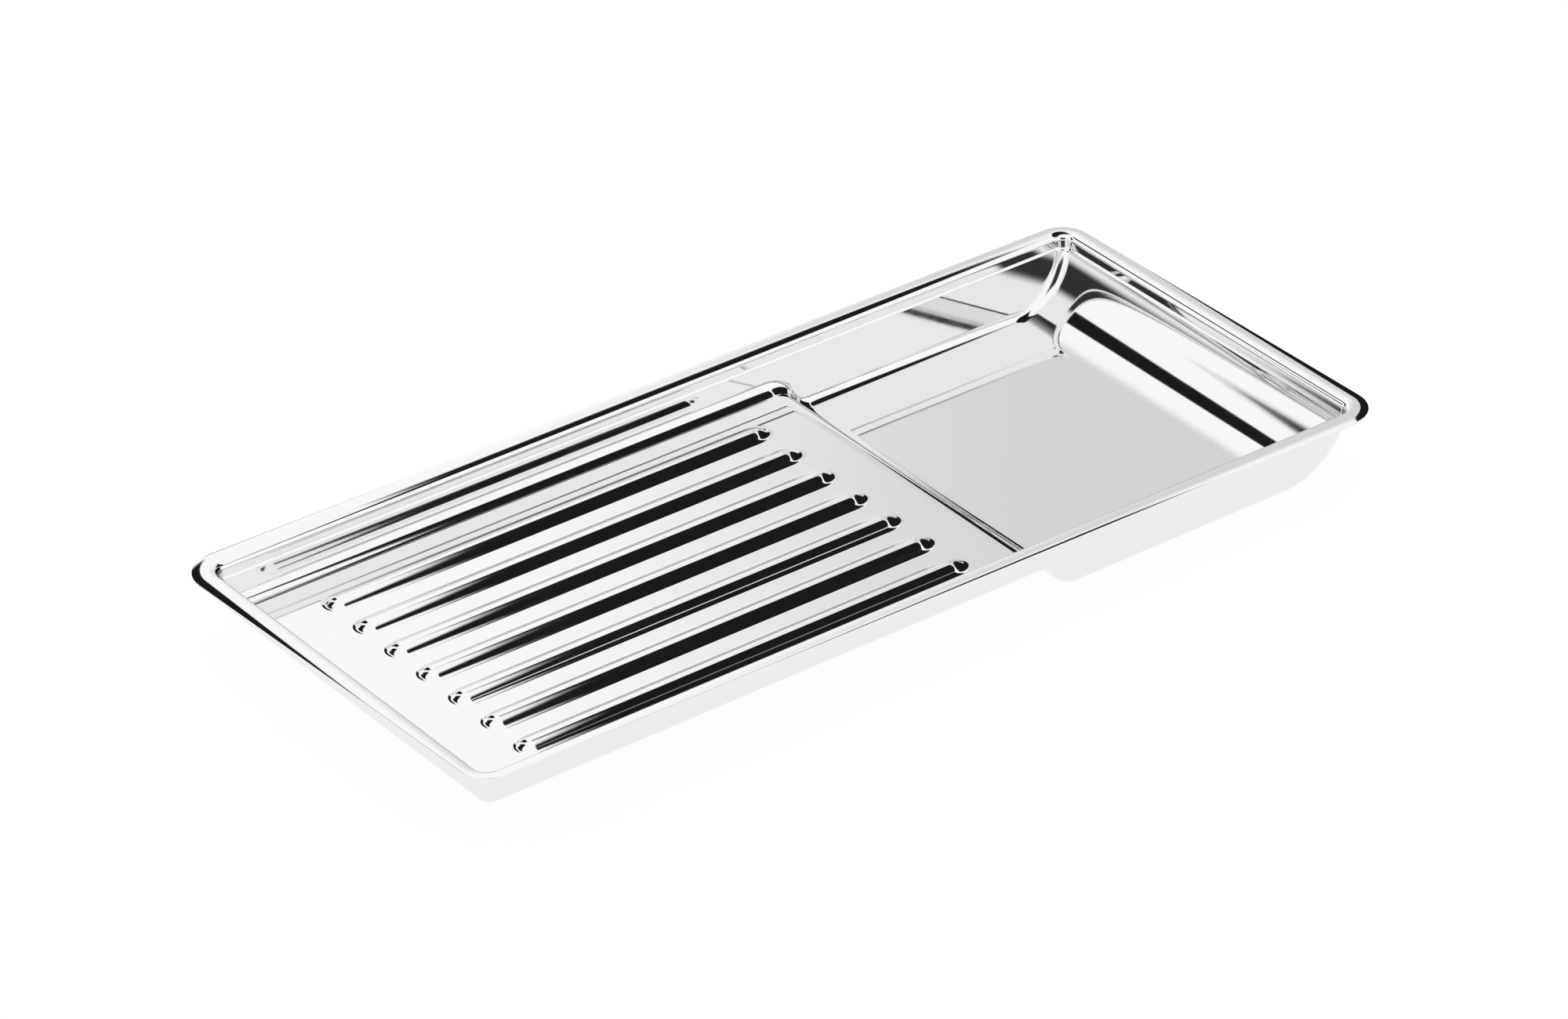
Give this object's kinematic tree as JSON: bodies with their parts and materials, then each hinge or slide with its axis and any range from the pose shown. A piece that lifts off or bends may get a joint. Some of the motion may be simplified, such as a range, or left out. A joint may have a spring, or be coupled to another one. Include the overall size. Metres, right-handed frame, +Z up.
{
  "type": "ribbed instrument tray",
  "caption": "Shallow pressed steel tray with a domed rim, raised ribs along one part of its floor and a deeper flat well with a scooped end.",
  "frame": {"origin": "under the middle of the rim's outline, on the resting plane of the well's underside", "axes": "+X along the length, from the ribbed panel towards the well; +Y across; +Z up out of the open top"},
  "size_m": [0.225, 0.1016, 0.0158],
  "materials": {
    "polished_steel": "mirror polished stainless steel sheet"
  },
  "bodies": {
    "root": {"pressed_tray": "polished_steel"}
  },
  "joints": []
}
